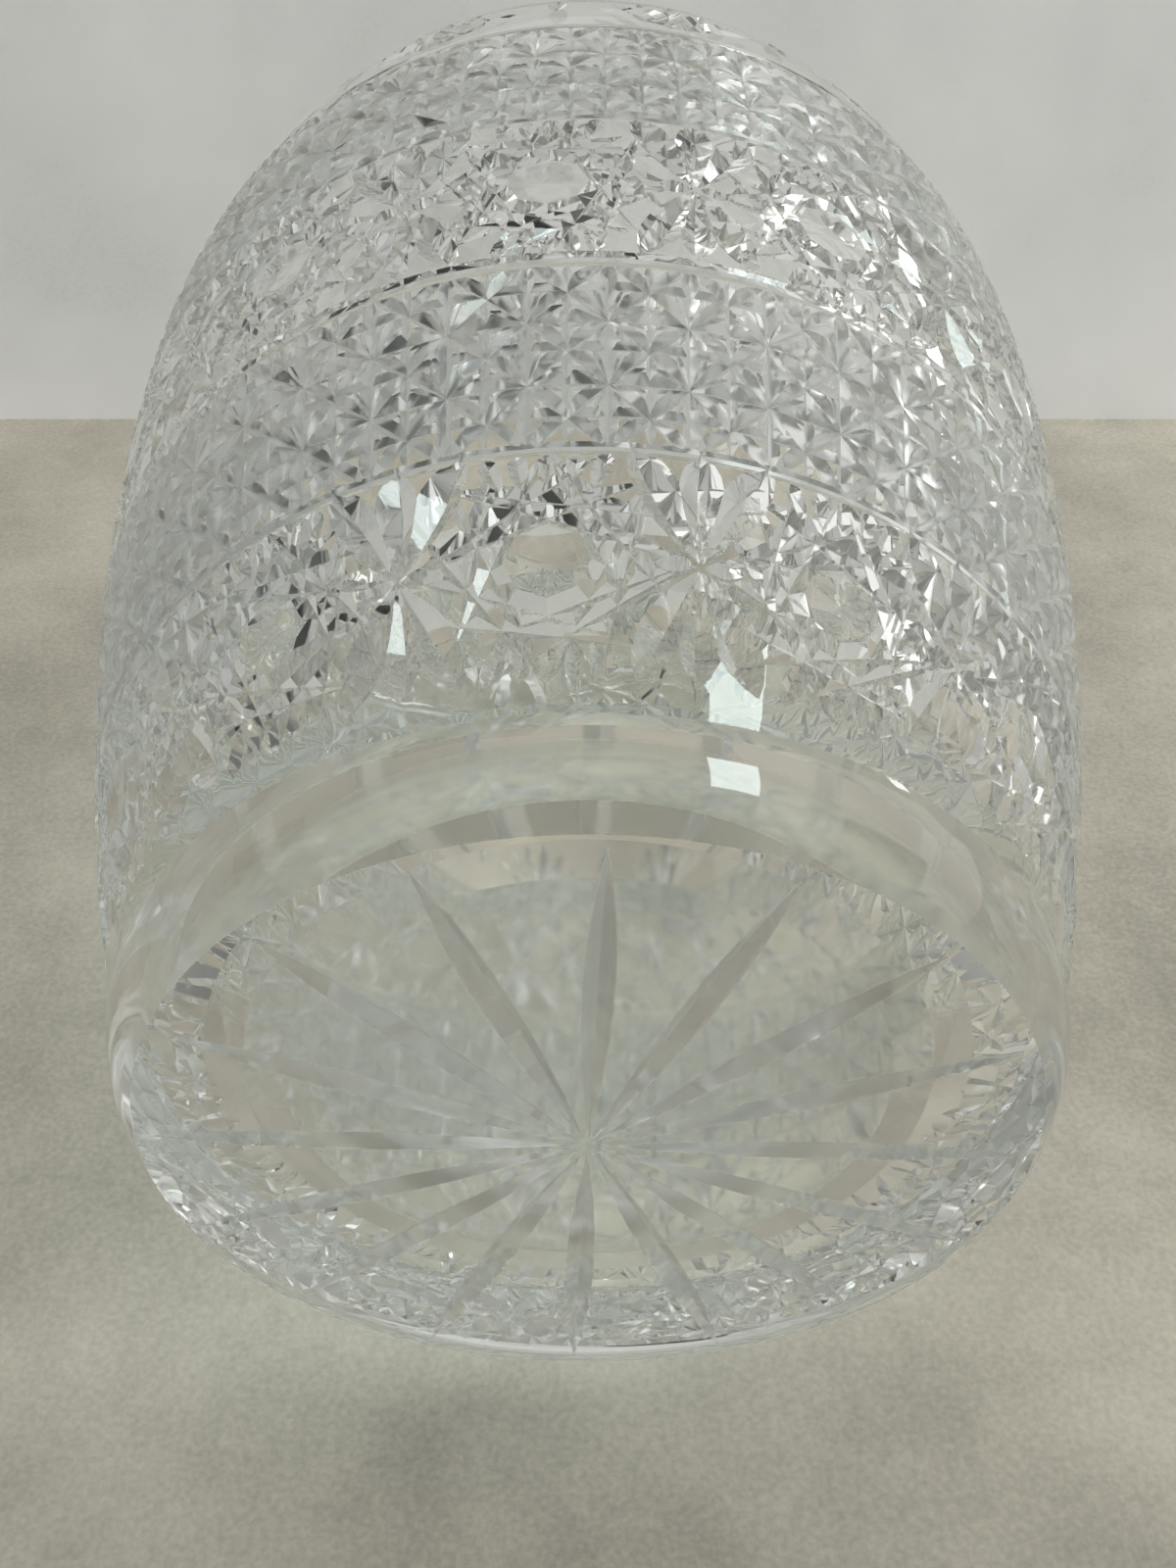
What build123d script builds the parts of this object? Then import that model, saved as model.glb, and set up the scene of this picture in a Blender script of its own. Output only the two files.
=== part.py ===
"""Cut crystal vase: a barrel of heavy clear glass with a star-cut foot and four cut bands.

The vase is one piece of glass. It is modelled as the zones that a glass cutter works on, each
one a closed solid that meets its neighbours face to face around the open cavity.
Millimetres, +Z up, origin at the centre of the foot, on the surface that the vase stands on.
"""

from build123d import *
import os
from math import atan2, cos, degrees, radians, sin, sqrt, tan

# Outside of the barrel: two arcs that meet at the belly
foot_radius = 60.0
heel_bulge = (63.7, 5.6)
belly_radius = 83.5
belly_height = 140.0
lower_arc = 438.0
upper_arc = 180.0

# Heights where one cut zone ends and the next begins
heel_height = 14.2
first_ring = 52.4
second_ring = 89.2
third_ring = 128.2
fourth_ring = 166.5
rim_height = 198.0

# Cavity
wall = 8.5
lip_wall = 6.5
lip_round = 2.5
floor_height = 20.0
floor_corner = 30.0

# Star under the foot: leaf-shaped mitre cuts that run out from the middle
star_rays = 16
first_ray = 2.2
ray_inner = 1.5
ray_outer = 58.2
ray_depth = 1.6

# Big stars on the two star bands: upright and diagonal mitre cuts
stars_around = 12
first_star = 11.0
mitre_half_angle = 50.0
mitre_depth = 2.3
arm_gap = 0.6
band_margin = 0.5
diagonal_lean = 25.0
lower_cuts_start = 18.2

# Polished groove at each ring
ring_groove = 0.7

# Height of the V edge on a grinding wheel, in depths of its cut
wheel_edge = 3.0


def outer_radius(height):
    """Radius of the uncut outside at a height above the heel."""
    arc = lower_arc if height < belly_height else upper_arc
    return belly_radius - arc + sqrt(arc**2 - (height - belly_height) ** 2)


def outer_lean(height):
    """Angle of the outside from the upright, in degrees, positive where it widens upwards."""
    arc = lower_arc if height < belly_height else upper_arc
    drop = belly_height - height
    return degrees(atan2(drop, sqrt(arc**2 - drop**2)))


def inner_radius(height):
    """Radius of the cavity at a height above its rounded bottom corner."""
    above_belly = max(0.0, height - belly_height) / (rim_height - belly_height)
    return outer_radius(height) - wall + (wall - lip_wall) * above_belly


def wall_plane(height, angle, turn):
    """Plane on the outside, its Z outwards and its X up the wall, then turned about its Z."""
    lean = radians(outer_lean(height))
    around = radians(angle)
    out_x, out_y = cos(around), sin(around)
    radius = outer_radius(height)
    touching = Plane(
        (radius * out_x, radius * out_y, height),
        x_dir=(sin(lean) * out_x, sin(lean) * out_y, cos(lean)),
        z_dir=(cos(lean) * out_x, cos(lean) * out_y, -sin(lean)),
    )
    return touching.rotated((0, 0, turn))


def mitre_wheel(plane, length, depth):
    """Revolve the V edge of the wheel that leaves a leaf-shaped cut, length by depth, along X."""
    wheel_radius = (length / 2) ** 2 / (2 * depth) + depth / 2
    edge_drop = wheel_edge * depth
    half_width = edge_drop * tan(radians(mitre_half_angle))
    centre = plane.origin + plane.z_dir * (wheel_radius - depth)
    with BuildSketch(Plane(centre, x_dir=-plane.z_dir, z_dir=plane.x_dir)) as edge:
        with BuildLine():
            Polyline(
                (wheel_radius - edge_drop, -half_width),
                (wheel_radius, 0),
                (wheel_radius - edge_drop, half_width),
                close=True,
            )
        make_face()
    revolve(edge.sketch, axis=Axis(centre, plane.y_dir))


def turned_wall(low, high):
    """Turn the wall between two heights about the upright axis."""
    middle = (low + high) / 2
    with BuildSketch(Plane.XZ) as section:
        with BuildLine():
            outside = ThreePointArc(
                (outer_radius(low), low),
                (outer_radius(middle), middle),
                (outer_radius(high), high),
            )
            inside = ThreePointArc(
                (inner_radius(high), high),
                (inner_radius(middle), middle),
                (inner_radius(low), low),
            )
            Line(outside @ 1, inside @ 0)
            Line(inside @ 1, outside @ 0)
        make_face()
    revolve(section.sketch, axis=Axis.Z)


def cut_ring(height):
    """Cut the polished V groove at a ring: a zone keeps the half that lies on its own side."""
    bottom = outer_radius(height) - ring_groove
    top = outer_radius(height) + ring_groove
    half_width = (top - bottom) * tan(radians(mitre_half_angle))
    with BuildSketch(Plane.XZ) as groove:
        with BuildLine():
            Polyline(
                (bottom, height),
                (top, height - half_width),
                (top, height + half_width),
                close=True,
            )
        make_face()
    revolve(groove.sketch, axis=Axis.Z, mode=Mode.SUBTRACT)


def star_arm(low, high, lean, side):
    """One arm of a big star: the wheel for the half of a mitre above or below its middle."""
    middle = (low + high) / 2
    length = ((high - low) / 2 - band_margin) / cos(radians(lean)) - arm_gap
    offset = side * (arm_gap + length / 2)
    height = middle + offset * cos(radians(lean))
    around = degrees(offset * sin(radians(lean)) / outer_radius(height))
    with BuildPart() as arm:
        mitre_wheel(wall_plane(height, around, lean), length, mitre_depth)
    return arm.part


def star_arms(low, high):
    """The six wheels of one big star, set down at the +X side of the vase."""
    leans = (0, diagonal_lean, -diagonal_lean)
    return [star_arm(low, high, lean, side) for lean in leans for side in (1, -1)]


def cut_stars(arms):
    """Cut one star's arms into the zone being built, all the way around."""
    for arm in arms:
        with PolarLocations(0, stars_around, start_angle=first_star):
            add(arm, mode=Mode.SUBTRACT)


def finish(piece, name):
    """Label a finished zone and write it to its own file."""
    piece.label = name
    export_step(piece, f"parts/{name}.step")


os.makedirs("parts", exist_ok=True)
lower_star_arms = star_arms(lower_cuts_start, first_ring)
upper_star_arms = star_arms(second_ring, third_ring)

# Foot: a thick disc with a rounded heel, flat underneath except for the star
with BuildPart() as ray_wheel:
    ray_middle = (ray_inner + ray_outer) / 2
    under_foot = Plane((ray_middle, 0, 0), x_dir=(1, 0, 0), z_dir=(0, 0, -1))
    mitre_wheel(under_foot, ray_outer - ray_inner, ray_depth)

with BuildPart() as foot:
    with BuildSketch(Plane.XZ):
        with BuildLine():
            underside = Line((0, 0), (foot_radius, 0))
            heel = ThreePointArc(underside @ 1, heel_bulge, (outer_radius(heel_height), heel_height))
            Polyline(heel @ 1, (0, heel_height), underside @ 0)
        make_face()
    revolve(axis=Axis.Z)
    with PolarLocations(0, star_rays, start_angle=first_ray):
        add(ray_wheel.part, mode=Mode.SUBTRACT)
finish(foot.part, "foot")

# Lower star band: the wall starts here, with the cavity's floor and its rounded corner
with BuildPart() as lower_star_band:
    with BuildSketch(Plane.XZ):
        with BuildLine():
            corner_top = floor_height + floor_corner
            corner_middle = inner_radius(corner_top) - floor_corner
            corner_reach = floor_corner * sqrt(0.5)
            middle_height = (heel_height + first_ring) / 2
            outside = ThreePointArc(
                (outer_radius(heel_height), heel_height),
                (outer_radius(middle_height), middle_height),
                (outer_radius(first_ring), first_ring),
            )
            Polyline(
                outside @ 1,
                (inner_radius(first_ring), first_ring),
                (inner_radius(corner_top), corner_top),
            )
            corner = ThreePointArc(
                (inner_radius(corner_top), corner_top),
                (corner_middle + corner_reach, corner_top - corner_reach),
                (corner_middle, floor_height),
            )
            Polyline(corner @ 1, (0, floor_height), (0, heel_height), outside @ 0)
        make_face()
    revolve(axis=Axis.Z)
    cut_ring(first_ring)
    cut_stars(lower_star_arms)
finish(lower_star_band.part, "lower_star_band")

with BuildPart() as lower_lattice_band:
    turned_wall(first_ring, second_ring)
    cut_ring(first_ring)
    cut_ring(second_ring)
finish(lower_lattice_band.part, "lower_lattice_band")

with BuildPart() as upper_star_band:
    turned_wall(second_ring, third_ring)
    cut_ring(second_ring)
    cut_ring(third_ring)
    cut_stars(upper_star_arms)
finish(upper_star_band.part, "upper_star_band")

with BuildPart() as upper_lattice_band:
    turned_wall(third_ring, fourth_ring)
    cut_ring(third_ring)
    cut_ring(fourth_ring)
finish(upper_lattice_band.part, "upper_lattice_band")

# Rim band: thins towards the lip, whose two edges are rounded
with BuildPart() as rim_band:
    turned_wall(fourth_ring, rim_height)
    cut_ring(fourth_ring)
    lip_edges = rim_band.edges().filter_by(GeomType.CIRCLE).group_by(Axis.Z)[-1]
    fillet(lip_edges, lip_round)
finish(rim_band.part, "rim_band")
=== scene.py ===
"""A cut crystal barrel vase: one piece of clear glass with a star-cut foot and banded cutting.

Metres, +Z up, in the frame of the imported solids. The blank is turned from its two arcs, each cut
is the edge of a wheel run over the surface, and a node tree repeats one sector of cuts around
the axis and grinds it out of the blank.
"""

import logging
import math
from dataclasses import dataclass, field
from enum import Enum
from typing import Callable, Iterable, Sequence, Union

import bmesh
import bpy
from mathutils import Matrix, Vector


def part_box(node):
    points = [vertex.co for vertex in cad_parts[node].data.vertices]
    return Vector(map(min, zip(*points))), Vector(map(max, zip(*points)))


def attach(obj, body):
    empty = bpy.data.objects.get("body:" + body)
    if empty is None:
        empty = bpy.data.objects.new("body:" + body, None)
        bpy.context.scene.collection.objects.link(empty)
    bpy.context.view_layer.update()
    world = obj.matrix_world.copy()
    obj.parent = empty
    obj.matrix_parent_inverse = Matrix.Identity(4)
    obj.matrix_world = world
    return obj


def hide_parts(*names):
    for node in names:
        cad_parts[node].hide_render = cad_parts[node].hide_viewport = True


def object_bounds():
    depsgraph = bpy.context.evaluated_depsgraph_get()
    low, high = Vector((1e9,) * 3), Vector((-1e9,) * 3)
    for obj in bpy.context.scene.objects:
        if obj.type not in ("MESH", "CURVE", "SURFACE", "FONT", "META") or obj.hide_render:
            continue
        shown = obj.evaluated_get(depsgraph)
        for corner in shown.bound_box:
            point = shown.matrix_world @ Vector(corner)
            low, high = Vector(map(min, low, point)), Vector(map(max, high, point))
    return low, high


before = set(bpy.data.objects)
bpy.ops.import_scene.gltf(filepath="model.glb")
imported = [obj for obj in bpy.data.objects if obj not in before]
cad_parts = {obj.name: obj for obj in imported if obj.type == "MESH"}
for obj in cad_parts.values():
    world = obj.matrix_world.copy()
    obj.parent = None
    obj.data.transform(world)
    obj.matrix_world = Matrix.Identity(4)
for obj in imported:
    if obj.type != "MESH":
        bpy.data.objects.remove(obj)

LOG = logging.getLogger("cut_vase")
CAD_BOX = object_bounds()
MM = 0.001
TURN = 2 * math.pi

# How far the solid of a lens or a ring stands out of the glass, so that it cuts cleanly
STAND_OUT = 0.6 * MM

Colour = tuple[float, float, float]
Spot = tuple[float, float]
Place = tuple[float, float, float]
TreeOwner = Union[bpy.types.Material, bpy.types.World]


class Zone(Enum):
    """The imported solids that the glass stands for, from the foot up."""

    FOOT = "foot"
    LOWER_STARS = "lower_star_band"
    LOWER_LATTICE = "lower_lattice_band"
    UPPER_STARS = "upper_star_band"
    UPPER_LATTICE = "upper_lattice_band"
    RIM = "rim_band"

    @property
    def low(self) -> float:
        """Height of the zone's lower end."""
        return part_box(self.value)[0].z

    @property
    def high(self) -> float:
        """Height of the zone's upper end."""
        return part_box(self.value)[1].z


# ---------------------------------------------------------------------------------------------
# The turned shape
# ---------------------------------------------------------------------------------------------


@dataclass
class Barrel:
    """The uncut vase: two arcs outside that meet at the belly, and a cavity a wall inside them."""

    belly_height: float = 140 * MM
    lower_arc: float = 438 * MM
    upper_arc: float = 180 * MM
    foot_radius: float = 60 * MM
    heel_bulge: Spot = (63.7 * MM, 5.6 * MM)
    wall: float = 8.5 * MM
    lip_wall: float = 6.5 * MM
    lip_round: float = 2.5 * MM
    floor_height: float = 20 * MM
    floor_corner: float = 30 * MM
    segments: int = 150
    heel_steps: int = 9
    wall_steps: int = 30
    inner_steps: int = 14
    corner_steps: int = 8
    belly_radius: float = field(default_factory=lambda: CAD_BOX[1].x)
    rim_height: float = field(default_factory=lambda: CAD_BOX[1].z)

    def arc(self, height: float) -> float:
        """Radius of the arc that the outside follows at a height."""
        return self.lower_arc if height < self.belly_height else self.upper_arc

    def radius(self, height: float) -> float:
        """Outside radius of the blank at a height above the heel."""
        arc = self.arc(height)
        return self.belly_radius - arc + math.sqrt(arc**2 - (height - self.belly_height) ** 2)

    def inner_radius(self, height: float) -> float:
        """Radius of the cavity at a height above its rounded corner."""
        span = self.rim_height - self.belly_height
        thinning = (self.wall - self.lip_wall) * max(0.0, height - self.belly_height) / span
        return self.radius(height) - self.wall + thinning

    def normal(self, angle: float, height: float) -> Vector:
        """Outward normal of the blank.

        Args:
            angle: where around the axis, in radians from +X.
            height: height above the foot.

        Returns:
            A unit vector.
        """
        lean = -(self.belly_height - height) / self.arc(height)
        level = math.sqrt(1 - lean**2)
        return Vector((level * math.cos(angle), level * math.sin(angle), lean))

    def point(self, angle: float, height: float) -> Vector:
        """The point of the blank's outside at an angle and a height."""
        radius = self.radius(height)
        return Vector((radius * math.cos(angle), radius * math.sin(angle), height))

    def section(self) -> list[Spot]:
        """The closed outline from the middle of the foot, up the outside and down the cavity.

        Returns:
            Points as (radius, height), the first and the last on the axis.
        """
        heel_top = Zone.FOOT.high
        heel_end = (self.radius(heel_top), heel_top)
        lip_base = self.rim_height - self.lip_round
        outer_lip = (self.radius(self.rim_height) - self.lip_round, lip_base)
        inner_lip = (self.inner_radius(self.rim_height) + self.lip_round, lip_base)
        corner_top = self.floor_height + self.floor_corner
        points = [(0.0, 0.0), (self.foot_radius / 2, 0.0)]
        points += three_point_arc((self.foot_radius, 0.0), self.heel_bulge, heel_end, self.heel_steps)
        points += self.wall_points(self.radius, heel_top, lip_base, self.wall_steps)[1:]
        points += quarter_round(outer_lip, self.lip_round, 90)
        points += quarter_round(inner_lip, self.lip_round, 180)
        points += self.wall_points(self.inner_radius, corner_top, lip_base, self.inner_steps)[::-1]
        points += self.floor_points(corner_top)
        return points

    def floor_points(self, corner_top: float) -> list[Spot]:
        """The cavity's rounded corner and its floor.

        Args:
            corner_top: height where the rounded corner meets the wall.

        Returns:
            Points as (radius, height), from the corner to the axis.
        """
        centre = self.inner_radius(corner_top) - self.floor_corner
        points = []
        for step in range(1, self.corner_steps + 1):
            turn = step * math.pi / (2 * self.corner_steps)
            across = centre + self.floor_corner * math.cos(turn)
            points.append((across, corner_top - self.floor_corner * math.sin(turn)))
        return points + [(centre * 0.5, self.floor_height), (0.0, self.floor_height)]

    @staticmethod
    def wall_points(
        radius: Callable[[float], float], low: float, high: float, steps: int
    ) -> list[Spot]:
        """Evenly spaced points up a wall.

        Args:
            radius: the wall's radius at a height.
            low: height of the first point.
            high: height of the last point.
            steps: how many steps between them.

        Returns:
            Points as (radius, height).
        """
        heights = [low + (high - low) * step / steps for step in range(steps + 1)]
        return [(radius(height), height) for height in heights]

    def blank(self) -> bpy.types.Object:
        """Turn the section about the axis into a closed mesh.

        Returns:
            The blank, in no collection yet.
        """
        outline = self.section()
        mesh = bmesh.new()
        foot_pole = mesh.verts.new((0, 0, outline[0][1]))
        floor_pole = mesh.verts.new((0, 0, outline[-1][1]))
        rings = []
        for segment in range(self.segments):
            angle = TURN * segment / self.segments
            rings.append(
                [mesh.verts.new((r * math.cos(angle), r * math.sin(angle), z)) for r, z in outline[1:-1]]
            )
        for here, there in zip(rings, rings[1:] + rings[:1]):
            mesh.faces.new((foot_pole, there[0], here[0]))
            mesh.faces.new((floor_pole, here[-1], there[-1]))
            for step in range(len(here) - 1):
                mesh.faces.new((here[step], there[step], there[step + 1], here[step + 1]))
        return object_from(mesh, "blank")


def three_point_arc(start: Spot, middle: Spot, end: Spot, steps: int) -> list[Spot]:
    """Points along the arc through three points.

    Args:
        start: the arc's first point.
        middle: a point that it passes through.
        end: its last point.
        steps: how many steps to divide it into.

    Returns:
        steps + 1 points.
    """
    (ax, ay), (bx, by), (cx, cy) = start, middle, end
    scale = 2 * (ax * (by - cy) + bx * (cy - ay) + cx * (ay - by))
    a2, b2, c2 = ax * ax + ay * ay, bx * bx + by * by, cx * cx + cy * cy
    ux = (a2 * (by - cy) + b2 * (cy - ay) + c2 * (ay - by)) / scale
    uy = (a2 * (cx - bx) + b2 * (ax - cx) + c2 * (bx - ax)) / scale
    radius = math.hypot(ax - ux, ay - uy)
    first = math.atan2(ay - uy, ax - ux)
    last = math.atan2(cy - uy, cx - ux)
    return [
        (
            ux + radius * math.cos(first + (last - first) * step / steps),
            uy + radius * math.sin(first + (last - first) * step / steps),
        )
        for step in range(steps + 1)
    ]


def quarter_round(centre: Spot, radius: float, end_degrees: float, steps: int = 5) -> list[Spot]:
    """Points round a quarter of the lip's edge.

    Args:
        centre: the middle of the round.
        radius: its radius.
        end_degrees: the angle of its last point; its first is a quarter turn before that.
        steps: how many steps to divide it into.

    Returns:
        The points after the first one.
    """
    first = math.radians(end_degrees - 90)
    return [
        (
            centre[0] + radius * math.cos(first + math.pi / 2 * step / steps),
            centre[1] + radius * math.sin(first + math.pi / 2 * step / steps),
        )
        for step in range(1, steps + 1)
    ]


def object_from(mesh: bmesh.types.BMesh, name: str) -> bpy.types.Object:
    """Close a bmesh into an object with its faces outwards.

    Args:
        mesh: the built mesh, freed here.
        name: the new object's name.

    Returns:
        The object, in no collection yet.
    """
    bmesh.ops.remove_doubles(mesh, verts=mesh.verts, dist=1e-7)
    bmesh.ops.recalc_face_normals(mesh, faces=mesh.faces)
    data = bpy.data.meshes.new(name)
    mesh.to_mesh(data)
    mesh.free()
    return bpy.data.objects.new(name, data)


# ---------------------------------------------------------------------------------------------
# Cuts: solids with the shape of the ground-away glass
# ---------------------------------------------------------------------------------------------


class Face:
    """A surface to cut, unrolled: x runs around it and y runs up it from the motif's middle."""

    def place(self, x: float, y: float) -> tuple[Vector, Vector]:
        """The point of the surface under (x, y) and the outward normal there."""
        raise NotImplementedError


@dataclass
class WallFace(Face):
    """The barrel's outside, unrolled about a height and an angle."""

    barrel: Barrel
    height: float
    angle: float = 0.0

    def place(self, x: float, y: float) -> tuple[Vector, Vector]:
        """The point of the wall and its normal: x keeps its angle as the radius changes."""
        angle = self.angle + x / self.barrel.radius(self.height)
        return self.barrel.point(angle, self.height + y), self.barrel.normal(angle, self.height + y)


@dataclass
class UndersideFace(Face):
    """The flat underside of the foot: x runs outwards along a ray and y across it."""

    angle: float = 0.0

    def place(self, x: float, y: float) -> tuple[Vector, Vector]:
        """The point of the underside and its normal, which points down."""
        cos, sin = math.cos(self.angle), math.sin(self.angle)
        return Vector((x * cos - y * sin, x * sin + y * cos, 0.0)), Vector((0, 0, -1))


@dataclass(frozen=True)
class Wheel:
    """A grinding wheel's edge: how deep it is set, its V, and how far its body clears the glass."""

    depth: float
    half_angle: float = 50.0
    clearance: float = 0.5 * MM

    @property
    def flare(self) -> float:
        """Half width of the V for each unit of its height."""
        return math.tan(math.radians(self.half_angle))


def ground_solid(
    face: Face, path: Sequence[Spot], depths: Sequence[float], wheel: Wheel, name: str
) -> bpy.types.Object:
    """The solid that a V-edged wheel sweeps along a path.

    Args:
        face: the surface that is cut.
        path: (x, y) of each station; the first and the last are where the wheel lifts clear.
        depths: how deep the V's bottom is at each station.
        wheel: the wheel's shape.
        name: the new object's name.

    Returns:
        A closed spindle with a V below the surface and a flat top above it.
    """
    mesh = bmesh.new()
    placed = [face.place(*spot) for spot in path]
    sections = []
    for index, ((point, normal), depth) in enumerate(zip(placed, depths)):
        ahead = placed[min(index + 1, len(placed) - 1)][0]
        behind = placed[max(index - 1, 0)][0]
        side = normal.cross(ahead - behind).normalized()
        reach = (wheel.clearance + depth) * wheel.flare
        top = point + normal * wheel.clearance
        sections.append((point - normal * depth, top - side * reach, top + side * reach))
    first = mesh.verts.new(sections[0][1])
    last = mesh.verts.new(sections[-1][1])
    rows = [[mesh.verts.new(corner) for corner in section] for section in sections[1:-1]]
    for here, there in zip(rows, rows[1:]):
        for one, two in ((0, 1), (1, 2), (2, 0)):
            mesh.faces.new((here[one], here[two], there[two], there[one]))
    for one, two in ((0, 1), (1, 2), (2, 0)):
        mesh.faces.new((first, rows[0][two], rows[0][one]))
        mesh.faces.new((last, rows[-1][one], rows[-1][two]))
    return object_from(mesh, name)


def leaf_cut(
    face: Face,
    start: Spot,
    end: Spot,
    wheel: Wheel,
    name: str,
    widest: float = 0.5,
    steps: int = 8,
) -> bpy.types.Object:
    """A leaf-shaped mitre: deepest and widest part way along, running out to a point at each end.

    Args:
        face: the surface that is cut.
        start: (x, y) of one point.
        end: (x, y) of the other.
        wheel: the wheel that cuts it.
        name: the new object's name.
        widest: how far along the leaf is widest, from 0 to 1.
        steps: how many stations its length is divided into.

    Returns:
        The ground-away solid.
    """
    lift = math.sqrt(1 + wheel.clearance / wheel.depth)
    first = widest - widest * lift
    last = widest + (1 - widest) * lift
    path, depths = [], []
    for step in range(steps + 1):
        along = first + (last - first) * step / steps
        span = widest if along < widest else 1 - widest
        path.append((start[0] + (end[0] - start[0]) * along, start[1] + (end[1] - start[1]) * along))
        depths.append(wheel.depth * (1 - ((along - widest) / span) ** 2))
    depths[0] = depths[-1] = -wheel.clearance
    return ground_solid(face, path, depths, wheel, name)


def line_cut(
    face: Face,
    start: Spot,
    end: Spot,
    wheel: Wheel,
    name: str,
    run_out: float = 2.5 * MM,
    first_stop: float = 0.3,
    pace: float = 9 * MM,
) -> bpy.types.Object:
    """A long mitre of even depth that runs out in a short curve at each end.

    Args:
        face: the surface that is cut.
        start: (x, y) where it begins.
        end: (x, y) where it ends.
        wheel: the wheel that cuts it.
        name: the new object's name.
        run_out: the length over which the wheel lifts.
        first_stop: where in that length its middle station is, from 0 to 1.
        pace: the distance between stations along the even stretch.

    Returns:
        The ground-away solid.
    """
    length = math.dist(start, end)
    overrun = run_out * (math.sqrt(1 + wheel.clearance / wheel.depth) - 1)
    even = length - 2 * run_out
    count = max(1, round(even / pace))
    stops = [-overrun, first_stop * run_out, run_out]
    stops += [run_out + even * step / count for step in range(1, count + 1)]
    stops += [length - first_stop * run_out, length + overrun]
    path, depths = [], []
    for stop in stops:
        along = stop / length
        path.append((start[0] + (end[0] - start[0]) * along, start[1] + (end[1] - start[1]) * along))
        short = max(0.0, 1 - min(stop, length - stop) / run_out)
        depths.append(wheel.depth * (1 - short**2))
    depths[0] = depths[-1] = -wheel.clearance
    return ground_solid(face, path, depths, wheel, name)


def lens_cut(
    face: Face, middle: Spot, radius: float, depth: float, name: str, rings: int = 3, around: int = 20
) -> bpy.types.Object:
    """A shallow round hollow, as a domed wheel leaves it.

    Args:
        face: the surface that is cut.
        middle: (x, y) of its middle.
        radius: radius of its edge on the surface.
        depth: how deep its middle is.
        name: the new object's name.
        rings: how many rings of faces its dome has.
        around: how many faces each ring has.

    Returns:
        A closed dome-bottomed plug.
    """
    point, normal = face.place(*middle)
    sphere = (radius**2 + depth**2) / (2 * depth)
    top_radius = math.sqrt(sphere**2 - (sphere - depth - STAND_OUT) ** 2)
    upright = Vector((0, 0, 1)) if abs(normal.z) < 0.9 else Vector((1, 0, 0))
    across = upright.cross(normal).normalized()
    along = normal.cross(across)
    mesh = bmesh.new()
    bottom = mesh.verts.new(point - normal * depth)
    rows = []
    for ring in range(1, rings + 1):
        reach = top_radius * ring / rings
        height = sphere - depth - math.sqrt(sphere**2 - reach**2)
        rows.append(
            [
                mesh.verts.new(
                    point
                    + normal * height
                    + across * reach * math.cos(TURN * step / around)
                    + along * reach * math.sin(TURN * step / around)
                )
                for step in range(around)
            ]
        )
    for step in range(around):
        after = (step + 1) % around
        mesh.faces.new((bottom, rows[0][step], rows[0][after]))
        for inner, outer in zip(rows, rows[1:]):
            mesh.faces.new((inner[step], outer[step], outer[after], inner[after]))
    mesh.faces.new(rows[-1])
    return object_from(mesh, name)


def ring_cut(
    barrel: Barrel,
    height: float,
    width: float,
    depth: float,
    name: str,
    steps: int = 6,
    segments: int = 150,
) -> bpy.types.Object:
    """A groove all the way around, its section a shallow arc.

    Args:
        barrel: the blank.
        height: the groove's middle.
        width: its width on the surface.
        depth: how deep it is in the middle.
        name: the new object's name.
        steps: how many facets its section has; 2 makes a V.
        segments: how many segments it has around the axis.

    Returns:
        A closed ring.
    """
    mesh = bmesh.new()
    rows = []
    lift = math.sqrt(1 + STAND_OUT / depth)
    for segment in range(segments):
        angle = TURN * (segment + 0.5) / segments
        row = []
        for step in range(steps + 1):
            across = (2 * step / steps - 1) * lift
            curved = depth * (1 - across**2)
            straight = depth - (depth + STAND_OUT) * abs(across) / lift
            sink = curved if steps > 2 else straight
            level = height + across * width / 2
            row.append(mesh.verts.new(barrel.point(angle, level) - barrel.normal(angle, level) * sink))
        rows.append(row)
    for here, there in zip(rows, rows[1:] + rows[:1]):
        for step in range(steps + 1):
            after = (step + 1) % (steps + 1)
            mesh.faces.new((here[step], here[after], there[after], there[step]))
    return object_from(mesh, name)


# ---------------------------------------------------------------------------------------------
# The cut patterns, one sector of each
# ---------------------------------------------------------------------------------------------


@dataclass
class Pattern:
    """One sector of cuts and how many times it goes around."""

    name: str
    repeats: int
    first_angle: float
    cuts: list[bpy.types.Object]


@dataclass
class FootStar:
    """The star under the foot: long leaves that run out from the middle."""

    rays: int = 16
    first_angle: float = math.radians(2.2)
    inner: float = 1.5 * MM
    outer: float = 58.2 * MM
    widest: float = 0.57
    steps: int = 16
    wheel: Wheel = Wheel(depth=1.6 * MM, half_angle=52)

    def pattern(self) -> Pattern:
        """One ray, to be repeated around the foot."""
        ends = ((self.inner, 0), (self.outer, 0))
        ray = leaf_cut(UndersideFace(), *ends, self.wheel, "ray", self.widest, self.steps)
        return Pattern("foot_star", self.rays, self.first_angle, [ray])


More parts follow.
